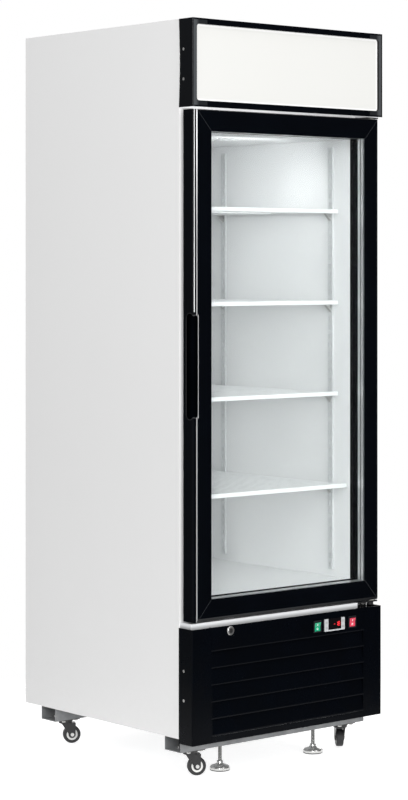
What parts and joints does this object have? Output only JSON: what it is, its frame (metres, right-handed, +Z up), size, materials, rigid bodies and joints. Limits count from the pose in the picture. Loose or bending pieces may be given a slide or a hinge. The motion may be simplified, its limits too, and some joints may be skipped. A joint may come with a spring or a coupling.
{
  "type": "display freezer",
  "caption": "Upright display freezer with a hinged glass door, wire shelves, lit canopy sign, louvred kick panel with lock and controls, castors and levelling feet.",
  "frame": {"origin": "on the floor, under the middle of the outline", "axes": "+X to the right of a person facing the door, +Y to the back, +Z up"},
  "size_m": [0.7, 0.75, 2.018],
  "materials": {
    "white_panel": "satin white paint",
    "black_plastic": "glossy black",
    "black_frame": "glossy black paint",
    "matte_black": "matte black",
    "black_steel": "black powder coat",
    "galvanised": "plain zinc-coated sheet",
    "silver_sill": "brushed",
    "foam": "rigid foam, hidden",
    "white_liner": "smooth white",
    "sign_white": "translucent white",
    "lamp_white": "frosted tube",
    "glass": "clear",
    "aluminium": "satin",
    "rubber": "matte black",
    "nylon": "natural",
    "white_wire": "white plastic-coated wire",
    "chrome": "bright plated",
    "zinc": "zinc plated",
    "green": "translucent green",
    "red": "translucent red",
    "light_plastic": "satin light grey",
    "grey_button": "matte",
    "copper": "copper tube",
    "fan_grey": "matte",
    "castor_tyre": "hard rubber"
  },
  "bodies": {
    "cabinet": {"side_panel_left": "white_panel", "side_panel_right": "white_panel", "top_panel": "white_panel", "back_panel": "galvanised", "insulation": "foam", "inner_liner": "white_liner", "breaker_strips": "matte_black", "sill_deck": "silver_sill", "base_pan": "galvanised", "base_rails": "galvanised", "canopy_end_caps": "black_plastic", "canopy_rails": "black_frame", "sign_panel": "sign_white", "canopy_tray": "white_panel", "canopy_lamp": "lamp_white", "fasteners": "zinc", "kick_pillars": "black_plastic", "kick_grille": "black_plastic", "lock_barrel": "chrome", "switch_bezels": "black_plastic", "controller": "light_plastic", "hinge_brackets": "zinc", "shelf_clips": "zinc", "pilasters": "white_liner", "evaporator_cover": "white_liner", "evaporator_coil": "aluminium", "compressor": "black_frame", "condenser_coil": "aluminium", "condenser_shroud": "galvanised", "pipework": "copper", "castor_plates": "black_steel", "shelf_1": "white_wire", "shelf_2": "white_wire", "shelf_3": "white_wire", "shelf_4": "white_wire"},
    "door": {"door_frame_bars": "black_plastic", "door_handle": "black_plastic", "door_glass": "glass", "glass_spacer": "aluminium", "door_gasket": "rubber", "door_bushes": "nylon"},
    "lock": {"lock_plug": "chrome"},
    "green_switch": {"green_rocker": "green"},
    "red_switch": {"red_rocker": "red"},
    "foot_left": {"levelling_foot_left": "zinc"},
    "foot_right": {"levelling_foot_right": "zinc"},
    "cooling_fan": {"evaporator_fan": "fan_grey"},
    "exhaust_fan": {"condenser_fan": "fan_grey"},
    "button_1": {"controller_button_1": "grey_button"},
    "button_2": {"controller_button_2": "grey_button"},
    "button_3": {"controller_button_3": "grey_button"},
    "button_4": {"controller_button_4": "grey_button"},
    "castor_front_left": {"castor_fork_front_left": "black_steel"},
    "wheel_front_left": {"castor_wheel_front_left": "castor_tyre"},
    "castor_front_right": {"castor_fork_front_right": "black_steel"},
    "wheel_front_right": {"castor_wheel_front_right": "castor_tyre"},
    "castor_rear_left": {"castor_fork_rear_left": "black_steel"},
    "wheel_rear_left": {"castor_wheel_rear_left": "castor_tyre"},
    "castor_rear_right": {"castor_fork_rear_right": "black_steel"},
    "wheel_rear_right": {"castor_wheel_rear_right": "castor_tyre"}
  },
  "joints": [
    {"name": "door_swing", "type": "hinge", "parent": "cabinet", "child": "door", "pos_m": [0.325, -0.35, 1.101], "axis": [0, 0, 1], "range_deg": [0, 110]},
    {"name": "lock_turn", "type": "hinge", "parent": "cabinet", "child": "lock", "pos_m": [-0.215, -0.355, 0.392], "axis": [0, -1, 0], "range_deg": [0, 90]},
    {"name": "green_rocker_tilt", "type": "hinge", "parent": "cabinet", "child": "green_switch", "pos_m": [0.102, -0.366, 0.371], "axis": [-1, 0, 0], "range_deg": [0, 14]},
    {"name": "red_rocker_tilt", "type": "hinge", "parent": "cabinet", "child": "red_switch", "pos_m": [0.235, -0.366, 0.371], "axis": [-1, 0, 0], "range_deg": [0, 14]},
    {"name": "foot_left_screw", "type": "slide", "parent": "cabinet", "child": "foot_left", "axis": [0, 0, 1], "range_m": [0, 0.015]},
    {"name": "foot_right_screw", "type": "slide", "parent": "cabinet", "child": "foot_right", "axis": [0, 0, 1], "range_m": [0, 0.015]},
    {"name": "cooling_fan_spin", "type": "hinge", "parent": "cabinet", "child": "cooling_fan", "pos_m": [0, -0.06, 1.75], "axis": [0, 0, 1], "continuous": true},
    {"name": "exhaust_fan_spin", "type": "hinge", "parent": "cabinet", "child": "exhaust_fan", "pos_m": [-0.07, -0.22, 0.24375], "axis": [0, 1, 0], "continuous": true},
    {"name": "button_1_press", "type": "slide", "parent": "cabinet", "child": "button_1", "axis": [0, 1, 0], "range_m": [0, 0.0008], "stiffness_N_per_m": 1500},
    {"name": "button_2_press", "type": "slide", "parent": "cabinet", "child": "button_2", "axis": [0, 1, 0], "range_m": [0, 0.0008], "stiffness_N_per_m": 1500},
    {"name": "button_3_press", "type": "slide", "parent": "cabinet", "child": "button_3", "axis": [0, 1, 0], "range_m": [0, 0.0008], "stiffness_N_per_m": 1500},
    {"name": "button_4_press", "type": "slide", "parent": "cabinet", "child": "button_4", "axis": [0, 1, 0], "range_m": [0, 0.0008], "stiffness_N_per_m": 1500},
    {"name": "castor_front_left_swivel", "type": "hinge", "parent": "cabinet", "child": "castor_front_left", "pos_m": [-0.278, -0.277, 0.06], "axis": [0, 0, 1], "continuous": true},
    {"name": "wheel_front_left_roll", "type": "hinge", "parent": "castor_front_left", "child": "wheel_front_left", "pos_m": [-0.26211, -0.28545, 0.025], "axis": [0.4695, 0.8829, 0], "continuous": true},
    {"name": "castor_front_right_swivel", "type": "hinge", "parent": "cabinet", "child": "castor_front_right", "pos_m": [0.278, -0.277, 0.06], "axis": [0, 0, 1], "continuous": true},
    {"name": "wheel_front_right_roll", "type": "hinge", "parent": "castor_front_right", "child": "wheel_front_right", "pos_m": [0.28832, -0.26226, 0.025], "axis": [-0.8192, 0.5736, 0], "continuous": true},
    {"name": "castor_rear_left_swivel", "type": "hinge", "parent": "cabinet", "child": "castor_rear_left", "pos_m": [-0.278, 0.277, 0.06], "axis": [0, 0, 1], "continuous": true},
    {"name": "wheel_rear_left_roll", "type": "hinge", "parent": "castor_rear_left", "child": "wheel_rear_left", "pos_m": [-0.26211, 0.26855, 0.025], "axis": [0.4695, 0.8829, 0], "continuous": true},
    {"name": "castor_rear_right_swivel", "type": "hinge", "parent": "cabinet", "child": "castor_rear_right", "pos_m": [0.278, 0.277, 0.06], "axis": [0, 0, 1], "continuous": true},
    {"name": "wheel_rear_right_roll", "type": "hinge", "parent": "castor_rear_right", "child": "wheel_rear_right", "pos_m": [0.29561, 0.27326, 0.025], "axis": [0.2079, 0.9781, 0], "continuous": true}
  ]
}
